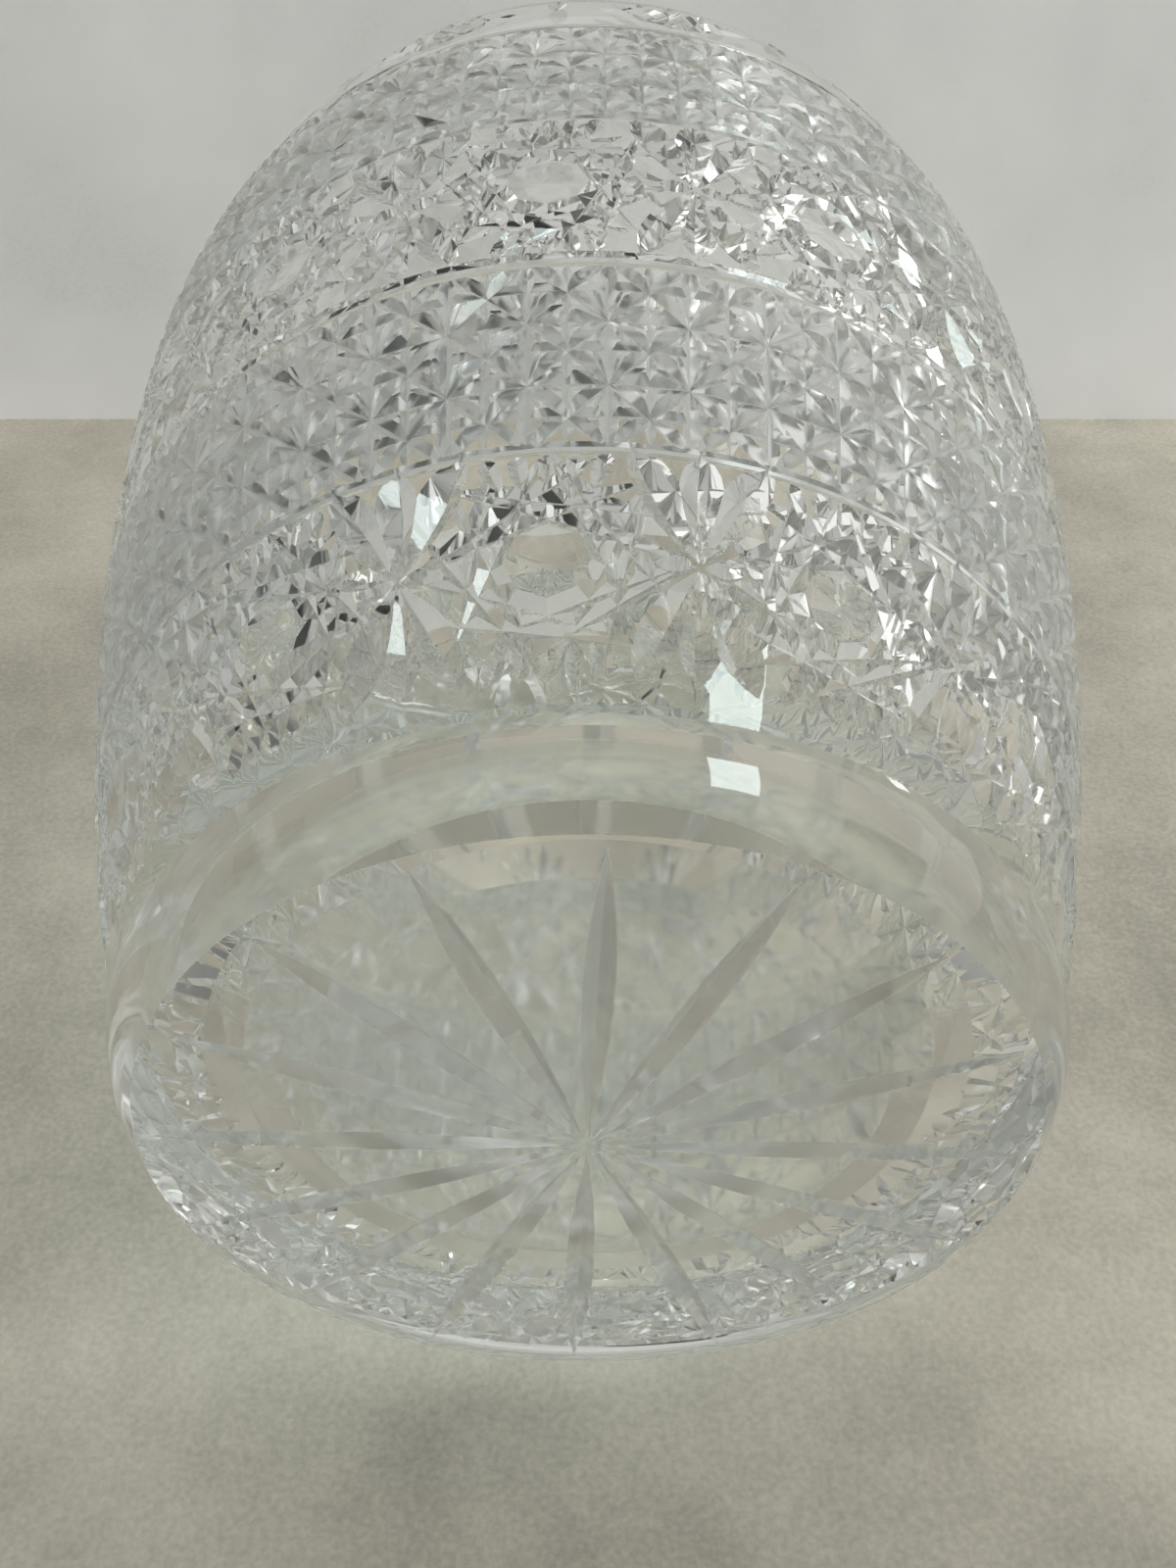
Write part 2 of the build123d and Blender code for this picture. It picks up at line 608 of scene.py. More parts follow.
@dataclass
class StarBand:
    """Big eight-point stars that alternate with round medallions, each a lens ringed by chords."""

    barrel: Barrel
    name: str
    low: float
    high: float
    repeats: int = 12
    first_angle: float = math.radians(11)
    arm_lean: float = math.radians(25)
    arm_wheel: Wheel = Wheel(depth=2.4 * MM, half_angle=52)
    arm_widest: float = 0.6
    root_gap: float = 0.5 * MM
    overshoot: float = 2.2 * MM
    side_arm: float = 5.6 * MM
    side_wheel: Wheel = Wheel(depth=1.4 * MM)
    side_widest: float = 0.55
    points: int = 16
    chord_step: int = 6
    chord_wheel: Wheel = Wheel(depth=1.15 * MM, half_angle=56)
    short_chord_wheel: Wheel = Wheel(depth=1.25 * MM, half_angle=50)
    medallion_width: float = 17.0 * MM
    chord_overlap: float = 0.6 * MM
    fan_spots: tuple[float, ...] = (-7.6 * MM, -3.8 * MM, 0.0, 3.8 * MM, 7.6 * MM)
    fan_length: float = 6.5 * MM
    fan_overlap: float = 0.4 * MM
    fan_narrowing: float = 0.7
    fan_widest: float = 0.35
    fan_wheel: Wheel = Wheel(depth=1.0 * MM, half_angle=54)
    lens_radius: float = 4.4 * MM
    lens_depth: float = 0.4 * MM

    @property
    def reach(self) -> float:
        """Half of the height that the motifs fill."""
        return (self.high - self.low) / 2

    @property
    def medallion_height(self) -> float:
        """Half height of a medallion: its chords run a little into the rings."""
        return self.reach + self.chord_overlap

    def star(self) -> list[bpy.types.Object]:
        """Cut one big star: three leaves up, three down and one to each side.

        Returns:
            The ground-away solids of its eight leaves.
        """
        face = WallFace(self.barrel, (self.low + self.high) / 2)
        gap = self.root_gap
        leaves = []
        for side in (1, -1):
            far = self.reach + (self.overshoot if side > 0 else 0.0)
            for lean in (-self.arm_lean, 0.0, self.arm_lean):
                tip = (far * math.tan(lean), side * far)
                root = (gap * math.sin(lean), side * gap * math.cos(lean))
                leaves.append(leaf_cut(face, root, tip, self.arm_wheel, "arm", self.arm_widest))
            root, tip = (side * gap, 0), (side * self.side_arm, 0)
            leaves.append(leaf_cut(face, root, tip, self.side_wheel, "side_arm", self.side_widest))
        return leaves

    def medallion(self) -> list[bpy.types.Object]:
        """Cut one medallion: chords around a lens, and a small fan above and below them.

        Returns:
            The ground-away solids, the lens last.
        """
        face = WallFace(self.barrel, (self.low + self.high) / 2, math.pi / self.repeats)
        angles = [TURN * point / self.points for point in range(self.points)]
        width, height = self.medallion_width, self.medallion_height
        rim = [(width * math.sin(angle), -height * math.cos(angle)) for angle in angles]
        cuts = []
        for point in range(self.points):
            far = rim[(point + self.chord_step - point % 2) % self.points]
            wheel = self.short_chord_wheel if point % 2 else self.chord_wheel
            cuts.append(leaf_cut(face, rim[point], far, wheel, "chord", steps=6))
        for side in (1, -1):
            for spot in self.fan_spots:
                edge = (spot, side * (self.reach + self.fan_overlap))
                root = (spot * self.fan_narrowing, side * (self.reach - self.fan_length))
                cuts.append(leaf_cut(face, edge, root, self.fan_wheel, "fan", self.fan_widest, steps=4))
        cuts.append(lens_cut(face, (0, 0), self.lens_radius, self.lens_depth, "lens"))
        return cuts

    def pattern(self) -> Pattern:
        """One star and one medallion."""
        return Pattern(self.name, self.repeats, self.first_angle, self.star() + self.medallion())


@dataclass
class LatticeBand:
    """A fine lattice: sixteen-point stars on a grid, with small pyramids along the grid's edges."""

    barrel: Barrel
    name: str
    low: float
    high: float
    rows: int = 3
    repeats: int = 45
    edge: float = 0.7 * MM
    star_reach: float = 0.56
    main_wheel: Wheel = Wheel(depth=1.0 * MM)
    fine_wheel: Wheel = Wheel(depth=0.62 * MM)
    star_wheel: Wheel = Wheel(depth=1.0 * MM, half_angle=48)

    def clipped(self, x: float, y: float, dx: float, dy: float) -> tuple[Spot, Spot]:
        """The two ends of the line through (x, y) along (dx, dy), where it leaves the band."""
        top = (self.high - self.low) / 2 - self.edge
        return (x + dx * (-top - y) / dy, -top), (x + dx * (top - y) / dy, top)

    def pattern(self) -> Pattern:
        """Cut one column of the lattice.

        Returns:
            Its upright and diagonal lines, and the short rays of its stars.
        """
        middle = (self.low + self.high) / 2
        face = WallFace(self.barrel, middle)
        column = TURN / self.repeats * self.barrel.radius(middle)
        row = (self.high - self.low) / self.rows
        cuts = []
        # Where each line starts and how far it moves sideways in one row, both in columns
        lines = ((0, 0, self.main_wheel), (0.5, 0, self.fine_wheel))
        lines += ((0, 1, self.main_wheel), (0, -1, self.main_wheel))
        for start, across, wheel in lines:
            ends = self.clipped(start * column, row / 2, across * column, row)
            cuts.append(line_cut(face, *ends, wheel, "lattice_line"))
        for star in range(self.rows - 1):
            level = (star + 1 - self.rows / 2) * row
            for ray in range(4):
                angle = math.radians(22.5 + 45 * ray)
                x = math.cos(angle) * column * self.star_reach
                y = math.sin(angle) * row * self.star_reach
                ends = ((-x, level - y), (x, level + y))
                cuts.append(leaf_cut(face, *ends, self.star_wheel, "ray", steps=3))
        return Pattern(self.name, self.repeats, 0.0, cuts)

    def rings(self) -> list[bpy.types.Object]:
        """Cut the level lines through and between the stars.

        Returns:
            A closed ring for each.
        """
        row = (self.high - self.low) / self.rows
        cuts = []
        for step in range(1, 2 * self.rows):
            wheel = self.fine_wheel if step % 2 else self.main_wheel
            level = self.low + step * row / 2
            width = 2 * (wheel.depth + STAND_OUT) * wheel.flare
            size = (level, width, wheel.depth)
            cuts.append(ring_cut(self.barrel, *size, "level_line", 2, 2 * self.repeats))
        return cuts


@dataclass
class RimFans:
    """Fans of upright leaves that open from the top ring towards the lip."""

    barrel: Barrel
    low: float
    high: float
    repeats: int = 12
    first_angle: float = math.radians(11)
    blades: int = 7
    spread: float = math.radians(96)
    root_height: float = 1.2 * MM
    root_spread: float = 1.0 * MM
    side_shortening: float = 0.22
    flattening: float = 0.96
    blade_widest: float = 0.62
    upright_start: float = 0.42
    wheel: Wheel = Wheel(depth=1.5 * MM)

    def pattern(self) -> Pattern:
        """Cut one fan, and the leaf that stands between it and the next.

        Returns:
            The blades from one side to the other, then the upright leaf.
        """
        face = WallFace(self.barrel, self.low)
        height = self.high - self.low
        cuts = []
        for blade in range(self.blades):
            lean = self.spread * (blade / (self.blades - 1) - 0.5)
            reach = height * (1 - self.side_shortening * abs(math.sin(lean)))
            rise = self.root_height + reach * math.cos(lean) * self.flattening
            root = (self.root_spread * math.sin(lean), self.root_height)
            tip = (reach * math.sin(lean), rise)
            cuts.append(leaf_cut(face, root, tip, self.wheel, "blade", self.blade_widest))
        between = WallFace(self.barrel, self.low, math.pi / self.repeats)
        ends = ((0, height * self.upright_start), (0, height))
        cuts.append(leaf_cut(between, *ends, self.wheel, "upright"))
        return Pattern("rim_fans", self.repeats, self.first_angle, cuts)


# ---------------------------------------------------------------------------------------------
# The grinding: repeat one sector around the axis and take it out of the blank
# ---------------------------------------------------------------------------------------------


class CuttingTree:
    """The node tree that unites a sector's cuts, repeats it and takes it out of the blank."""

    def __init__(self) -> None:
        """Build the tree and its named inputs."""
        self.group = bpy.data.node_groups.new("grind_cuts", "GeometryNodeTree")
        face = self.group.interface
        face.new_socket("Glass", in_out="INPUT", socket_type="NodeSocketGeometry")
        self.cuts = face.new_socket("Cuts", in_out="INPUT", socket_type="NodeSocketCollection")
        self.repeats = face.new_socket("Repeats", in_out="INPUT", socket_type="NodeSocketInt")
        self.first = face.new_socket("First Angle", in_out="INPUT", socket_type="NodeSocketFloat")
        self.finish = face.new_socket("Finish", in_out="INPUT", socket_type="NodeSocketMaterial")
        face.new_socket("Glass", in_out="OUTPUT", socket_type="NodeSocketGeometry")
        source = self.node("NodeGroupInput", {}, {})
        sector = self.node(
            "GeometryNodeCollectionInfo",
            {},
            {"Collection": source.outputs["Cuts"], "Separate Children": True},
        )
        united = self.node(
            "GeometryNodeMeshBoolean",
            {"solver": "MANIFOLD", "operation": "UNION"},
            {"Mesh 2": sector.outputs[0]},
        )
        centres = self.node("GeometryNodePoints", {}, {"Count": source.outputs["Repeats"]})
        index = self.node("GeometryNodeInputIndex", {}, {})
        step = self.node(
            "ShaderNodeMath", {"operation": "DIVIDE"}, {0: TURN, 1: source.outputs["Repeats"]}
        )
        turn = self.node(
            "ShaderNodeMath",
            {"operation": "MULTIPLY_ADD"},
            {0: index.outputs[0], 1: step.outputs[0], 2: source.outputs["First Angle"]},
        )
        spin = self.node("ShaderNodeCombineXYZ", {}, {"Z": turn.outputs[0]})
        around = self.node(
            "GeometryNodeInstanceOnPoints",
            {},
            {"Points": centres.outputs[0], "Instance": united.outputs[0], "Rotation": spin.outputs[0]},
        )
        ground = self.node(
            "GeometryNodeMeshBoolean",
            {"solver": "MANIFOLD", "operation": "DIFFERENCE"},
            {"Mesh 1": source.outputs["Glass"], "Mesh 2": around.outputs[0]},
        )
        whole = self.node("GeometryNodeRealizeInstances", {}, {"Geometry": ground.outputs[0]})
        dressed = self.node(
            "GeometryNodeSetMaterial",
            {},
            {"Geometry": whole.outputs[0], "Material": source.outputs["Finish"]},
        )
        self.node("NodeGroupOutput", {}, {"Glass": dressed.outputs[0]})

    def node(self, kind: str, settings: dict, inputs: dict) -> bpy.types.Node:
        """Add a node.

        Args:
            kind: the node's type.
            settings: its properties, set first.
            inputs: values or output sockets, by socket name or number.

        Returns:
            The node.
        """
        made = self.group.nodes.new(kind)
        for key, value in settings.items():
            setattr(made, key, value)
        for key, value in inputs.items():
            if isinstance(value, bpy.types.NodeSocket):
                self.group.links.new(value, made.inputs[key])
            else:
                made.inputs[key].default_value = value
        return made

    def grind(self, glass: bpy.types.Object, pattern: Pattern, finish: bpy.types.Material) -> None:
        """Cut a pattern into the glass and keep the result as its plain mesh.

        Args:
            glass: the piece that is cut.
            pattern: a sector of cuts and its repeats.
            finish: the material that every face gets.
        """
        sector = bpy.data.collections.new(pattern.name)
        for cut in pattern.cuts:
            sector.objects.link(cut)
        grinder = glass.modifiers.new(pattern.name, "NODES")
        grinder.node_group = self.group
        grinder[self.cuts.identifier] = sector
        grinder[self.repeats.identifier] = pattern.repeats
        grinder[self.first.identifier] = pattern.first_angle
        grinder[self.finish.identifier] = finish
        depsgraph = bpy.context.evaluated_depsgraph_get()
        ground = bpy.data.meshes.new_from_object(glass.evaluated_get(depsgraph))
        glass.modifiers.remove(grinder)
        blank = glass.data
        glass.data = ground
        bpy.data.meshes.remove(blank)
        for cut in pattern.cuts:
            bpy.data.meshes.remove(cut.data)
        bpy.data.collections.remove(sector)
        cuts, faces = len(pattern.cuts), len(ground.polygons)
        LOG.info("%s: %d cuts x %d, %d faces", pattern.name, cuts, pattern.repeats, faces)


# ---------------------------------------------------------------------------------------------
# Finish
# ---------------------------------------------------------------------------------------------


class Maths:
    """A value socket in a shader tree, with arithmetic that adds Math nodes."""

    def __init__(self, tree: "ShaderTree", socket: bpy.types.NodeSocket) -> None:
        """Wrap an output socket."""
        self.tree = tree
        self.socket = socket

    def _with(self, operation: str, first: "Maths | float", second: "Maths | float") -> "Maths":
        """A Math node on two values."""
        return self.tree.value("ShaderNodeMath", {"operation": operation}, {0: first, 1: second})

    def __add__(self, other: "Maths | float") -> "Maths":
        """self + other."""
        return self._with("ADD", self, other)

    def __radd__(self, other: float) -> "Maths":
        """other + self."""
        return self._with("ADD", other, self)

    def __sub__(self, other: "Maths | float") -> "Maths":
        """self - other."""
        return self._with("SUBTRACT", self, other)

    def __rsub__(self, other: float) -> "Maths":
        """other - self."""
        return self._with("SUBTRACT", other, self)

    def __mul__(self, other: "Maths | float") -> "Maths":
        """self * other."""
        return self._with("MULTIPLY", self, other)

    def __rmul__(self, other: float) -> "Maths":
        """other * self."""
        return self._with("MULTIPLY", other, self)

    def __truediv__(self, other: "Maths | float") -> "Maths":
        """self / other."""
        return self._with("DIVIDE", self, other)

    def root(self) -> "Maths":
        """The square root."""
        return self._with("SQRT", self, 0.0)

    def above(self, edge: float, blur: float) -> "Maths":
        """A soft step at an edge.

        Args:
            edge: the value in the middle of the step.
            blur: half of the step's width.

        Returns:
            0 below the edge and 1 above it.
        """
        return self.tree.value(
            "ShaderNodeMapRange",
            {"interpolation_type": "SMOOTHSTEP"},
            {"Value": self, "From Min": edge - blur, "From Max": edge + blur},
        )


class ShaderTree:
    """The node tree of a material or a world."""

    def __init__(self, owner: TreeOwner, output: str = "ShaderNodeOutputMaterial") -> None:
        """Clear the tree of a material or a world down to its output.

        Args:
            owner: the material or the world.
            output: the type of its output node.
        """
        self.owner = owner
        owner.use_nodes = True
        owner.node_tree.nodes.clear()
        self.output = self.add(output, {}, {})

    @classmethod
    def named(cls, name: str) -> "ShaderTree":
        """The tree of a new material."""
        return cls(bpy.data.materials.new(name))

    def surface(self, shader: bpy.types.Node) -> TreeOwner:
        """Send a shader to the output and give back the owner."""
        self.owner.node_tree.links.new(shader.outputs[0], self.output.inputs["Surface"])
        return self.owner

    def add(self, kind: str, settings: dict, inputs: dict) -> bpy.types.Node:
        """Add a node.

        Args:
            kind: the node's type.
            settings: its properties, set first.
            inputs: values, output sockets or Maths, by socket name or number.

        Returns:
            The node.
        """
        node = self.owner.node_tree.nodes.new(kind)
        for key, value in settings.items():
            setattr(node, key, value)
        for key, value in inputs.items():
            socket = value.socket if isinstance(value, Maths) else value
            if isinstance(socket, bpy.types.NodeSocket):
                self.owner.node_tree.links.new(socket, node.inputs[key])
            else:
                node.inputs[key].default_value = socket
        return node

    def value(self, kind: str, settings: dict, inputs: dict) -> Maths:
        """Add a node and wrap its first output."""
        return Maths(self, self.add(kind, settings, inputs).outputs[0])

    def noise(
        self, place: bpy.types.NodeSocket, scale: float, detail: float, roughness: float = 0.5
    ) -> Maths:
        """Soft mottling.

        Args:
            place: the coordinates that it follows.
            scale: how many patches there are in a metre, more or less.
            detail: how many finer layers it has.
            roughness: how strong the finer layers are.

        Returns:
            A value around 0.5.
        """
        inputs = {"Vector": place, "Scale": scale, "Detail": detail, "Roughness": roughness}
        return self.value("ShaderNodeTexNoise", {}, inputs)


@dataclass(frozen=True)
class GlassZones:
    """Masks for the kinds of surface that the glass has."""

    facet: Maths
    lattice: Maths
    ray: Maths
    floor: Maths


@dataclass(frozen=True)
class CrystalFinish:
    """Clear heavy crystal: the turned surfaces are polished, the ground facets keep a soft haze."""

    slot: str = "clear_glass"
    clear: tuple[float, float, float, float] = (0.97, 0.98, 0.965, 1)
    shade: tuple[float, float, float, float] = (0.945, 0.957, 0.94, 1)
    bloom: tuple[float, float, float, float] = (0.70, 0.71, 0.68, 1)
    bloom_roughness: float = 0.7
    index: float = 1.53
    polish: float = 0.004
    smear: float = 0.012
    facet_haze: float = 0.035
    lattice_haze: float = 0.12
    foot_haze: float = 0.12
    floor_haze: float = 0.085
    facet_veil: float = 0.04
    lattice_veil: float = 0.22
    foot_veil: float = 0.26
    cloud_scale: float = 38.0
    ripple_scale: float = 90.0
    ripple_height: float = 0.04 * MM
    ripple_strength: float = 0.15
    touch: float = 0.08 * MM
    band_blur: float = 0.5 * MM
    ray_top: float = 2.5 * MM
    ray_margin: float = 0.5 * MM
    floor_start: float = 4 * MM
    floor_margin: float = 3 * MM
    floor_blur: float = 2 * MM

    def band(self, height: Maths, zone: Zone) -> Maths:
        """1 between a zone's two ends and 0 elsewhere."""
        return height.above(zone.low, self.band_blur) - height.above(zone.high, self.band_blur)

    def zones(self, tree: ShaderTree, place: bpy.types.NodeSocket, barrel: Barrel) -> GlassZones:
        """Tell the kinds of surface apart by how far they lie inside the uncut outside.

        Args:
            tree: the glass's tree.
            place: the surface point, in the vase's own coordinates.
            barrel: the blank.

        Returns:
            A mask for each kind, 1 on it and 0 elsewhere.
        """
        axes = tree.add("ShaderNodeSeparateXYZ", {}, {0: place})
        x, y, height = (Maths(tree, axes.outputs[axis]) for axis in "XYZ")
        radius = (x * x + y * y).root()
        drop = height - barrel.belly_height
        upper = drop.above(0.0, self.touch)
        arc = barrel.lower_arc + upper * (barrel.upper_arc - barrel.lower_arc)
        sunk = barrel.belly_radius - arc + (arc * arc - drop * drop).root() - radius
        inside = sunk.above(barrel.wall / 2, self.touch)
        facet = height.above(Zone.FOOT.high, self.touch) * (sunk.above(self.touch, self.touch) - inside)
        ray = height.above(self.touch, self.touch) - height.above(self.ray_top, self.touch)
        ray = ray * (1.0 - radius.above(barrel.foot_radius - self.ray_margin, self.touch))
        bands = self.band(height, Zone.LOWER_LATTICE) + self.band(height, Zone.UPPER_LATTICE)
        floor = height.above(self.floor_start, self.touch)
        floor = floor * (1.0 - height.above(barrel.floor_height + self.floor_margin, self.floor_blur))
        return GlassZones(facet, facet * bands, ray, floor * inside)

    def material(self, barrel: Barrel) -> bpy.types.Material:
        """Build the glass.

        Args:
            barrel: the blank, whose outside tells ground facets from polished glass.

        Returns:
            The material, named for its slot.
        """
        tree = ShaderTree.named(self.slot)
        place = tree.add("ShaderNodeTexCoord", {}, {}).outputs["Object"]
        zones = self.zones(tree, place, barrel)
        cloud = tree.noise(place, self.cloud_scale, 3.0)
        ripple = tree.noise(place, self.ripple_scale, 2.0)
        roughness = self.polish + self.smear * cloud * cloud + self.facet_haze * zones.facet
        roughness = roughness + self.lattice_haze * zones.lattice + self.foot_haze * zones.ray
        roughness = roughness + self.floor_haze * zones.floor
        tint = tree.add(
            "ShaderNodeMix", {"data_type": "RGBA"}, {"Factor": cloud, 6: self.clear, 7: self.shade}
        )
        bump = tree.add(
            "ShaderNodeBump",
            {},
            {"Strength": self.ripple_strength, "Distance": self.ripple_height, "Height": ripple},
        )
        glass = tree.add(
            "ShaderNodeBsdfPrincipled",
            {},
            {
                "Base Color": tint.outputs[2],
                "Roughness": roughness,
                "IOR": self.index,
                "Transmission Weight": 1.0,
                "Normal": bump.outputs["Normal"],
            },
        )
        bloom = tree.add(
            "ShaderNodeBsdfPrincipled", {}, {"Base Color": self.bloom, "Roughness": self.bloom_roughness}
        )
        veil = self.facet_veil * zones.facet + self.lattice_veil * zones.lattice
        veil = veil + self.foot_veil * zones.ray
        dressed = tree.add("ShaderNodeMixShader", {}, {0: veil, 1: glass.outputs[0], 2: bloom.outputs[0]})
        return tree.surface(dressed)


@dataclass(frozen=True)
class SheetFinish:
    """A matte, softly mottled finish that shows only on a sheet's front."""

    name: str
    colour: Colour
    grain: float
    glow: float = 0.0
    broad_scale: float = 11.0
    fine_scale: float = 900.0
    fine_share: float = 0.35
    roughness: float = 0.9
    specular: float = 0.1

    def material(self) -> bpy.types.Material:
        """Build the finish; its glow is the light that it gives off, as a lit backdrop does.

        Returns:
            The material.
        """
        tree = ShaderTree.named(self.name)
        place = tree.add("ShaderNodeTexCoord", {}, {}).outputs["Object"]
        broad = tree.noise(place, self.broad_scale, 8.0, 0.62)
        fine = tree.noise(place, self.fine_scale, 4.0)
        shade = 1.0 + self.grain * (broad - 0.5) + self.grain * self.fine_share * (fine - 0.5)
        tint = tree.add("ShaderNodeVectorMath", {"operation": "SCALE"}, {0: self.colour, "Scale": shade})
        matte = tree.add(
            "ShaderNodeBsdfPrincipled",
            {},
            {
                "Base Color": tint.outputs[0],
                "Roughness": self.roughness,
                "Specular IOR Level": self.specular,
                "Emission Color": tint.outputs[0],
                "Emission Strength": self.glow,
            },
        )
        clear = tree.add("ShaderNodeBsdfTransparent", {}, {})
        side = tree.add("ShaderNodeNewGeometry", {}, {}).outputs["Backfacing"]
        mix = tree.add("ShaderNodeMixShader", {}, {0: side, 1: matte.outputs[0], 2: clear.outputs[0]})
        return tree.surface(mix)


@dataclass(frozen=True)
class CardFinish:
    """The flat dark finish of a studio card."""

    name: str = "dark_card"
    colour: tuple[float, float, float, float] = (0.03, 0.03, 0.028, 1)

    def material(self) -> bpy.types.Material:
        """Build the finish."""
        tree = ShaderTree.named(self.name)
        return tree.surface(tree.add("ShaderNodeBsdfDiffuse", {}, {"Color": self.colour}))


# ---------------------------------------------------------------------------------------------
# The vase
# ---------------------------------------------------------------------------------------------


@dataclass
class CutVase:
    """The whole vase: the blank, its rings and its cut patterns."""

    barrel: Barrel = field(default_factory=Barrel)
    finish: CrystalFinish = CrystalFinish()
    crease: float = math.radians(11)
    flatness: float = math.radians(0.01)
    lower_cuts_start: float = 18.2 * MM
    lower_star_margin: float = 0.7 * MM
    upper_star_margin: float = 1.3 * MM
    upper_medallion_width: float = 18.5 * MM
    fan_margins: tuple[float, float] = (2 * MM, 5 * MM)

    def rings(self) -> Pattern:
        """Cut the polished rings between the bands.

        Returns:
            The four rings, each with its height, width and depth.
        """
        sizes = (
            (Zone.LOWER_STARS.high, 2.2 * MM, 0.5 * MM),
            (Zone.LOWER_LATTICE.high, 3.6 * MM, 0.6 * MM),
            (Zone.UPPER_STARS.high, 3.2 * MM, 0.6 * MM),
            (Zone.UPPER_LATTICE.high, 2.6 * MM, 1.1 * MM),
        )
        cuts = [ring_cut(self.barrel, height, width, depth, "ring") for height, width, depth in sizes]
        return Pattern("rings", 1, 0.0, cuts)

    def patterns(self) -> Iterable[Pattern]:
        """Cut every pattern, each when the last one has been ground.

        Returns:
            The foot star, the star bands, the lattices, the fans at the rim and the rings.
        """
        barrel = self.barrel
        yield FootStar().pattern()
        high = Zone.LOWER_STARS.high - self.lower_star_margin
        yield StarBand(barrel, "lower_stars", self.lower_cuts_start, high).pattern()
        low = Zone.UPPER_STARS.low + self.upper_star_margin
        high = Zone.UPPER_STARS.high - self.upper_star_margin
        width = self.upper_medallion_width
        yield StarBand(barrel, "upper_stars", low, high, medallion_width=width).pattern()
        for name, zone in (("lower_lattice", Zone.LOWER_LATTICE), ("upper_lattice", Zone.UPPER_LATTICE)):
            band = LatticeBand(barrel, name, zone.low, zone.high)
            yield band.pattern()
            yield Pattern(name + "_levels", 1, 0.0, band.rings())
        below, above = self.fan_margins
        yield RimFans(barrel, Zone.RIM.low + below, Zone.RIM.high - above).pattern()
        yield self.rings()

    def build(self) -> bpy.types.Object:
        """Turn the blank, grind every pattern and dress the glass.

        Returns:
            The finished piece, in the scene.
        """
        glass = self.barrel.blank()
        glass.name = "vase_glass"
        bpy.context.scene.collection.objects.link(glass)
        finish = self.finish.material(self.barrel)
        tree = CuttingTree()
        for pattern in self.patterns():
            tree.grind(glass, pattern, finish)
        self.settle(glass)
        return glass

    def settle(self, glass: bpy.types.Object) -> None:
        """Join the parts of each flat facet, and shade facets flat and the turned surfaces smooth.

        Args:
            glass: the ground piece.
        """
        mesh = bmesh.new()
        mesh.from_mesh(glass.data)
        bmesh.ops.dissolve_limit(
            mesh,
            angle_limit=self.flatness,
            use_dissolve_boundaries=False,
            verts=mesh.verts,
            edges=mesh.edges,
        )
        open_edges = sum(1 for edge in mesh.edges if not edge.is_manifold)
        triangles = sum(len(face.verts) - 2 for face in mesh.faces)
        mesh.to_mesh(glass.data)
        mesh.free()
        glass.data.shade_smooth()
        glass.data.set_sharp_from_angle(angle=self.crease)
        LOG.info("vase_glass: %d triangles, %d open edges", triangles, open_edges)


# ---------------------------------------------------------------------------------------------
# Stage
# ---------------------------------------------------------------------------------------------


@dataclass(frozen=True)
class Lamp:
    """A rectangular soft light; the small windows only make reflections and cast no shadow."""

    name: str
    spot: Place
    aim: Place
    size: tuple[float, float]
    power: float
    colour: Colour
    shadow: bool = False

    def hang(self) -> None:
        """Put the light in the scene, facing its aim."""
        data = bpy.data.lights.new(self.name, "AREA")
        data.shape = "RECTANGLE"
        data.size, data.size_y = self.size
        data.energy = self.power
        data.color = self.colour
        data.use_shadow = self.shadow
        lamp = bpy.data.objects.new(self.name, data)
        lamp.location = self.spot
        lamp.rotation_euler = (Vector(self.aim) - Vector(self.spot)).to_track_quat("-Z", "Y").to_euler()
        lamp.visible_camera = False
        bpy.context.scene.collection.objects.link(lamp)


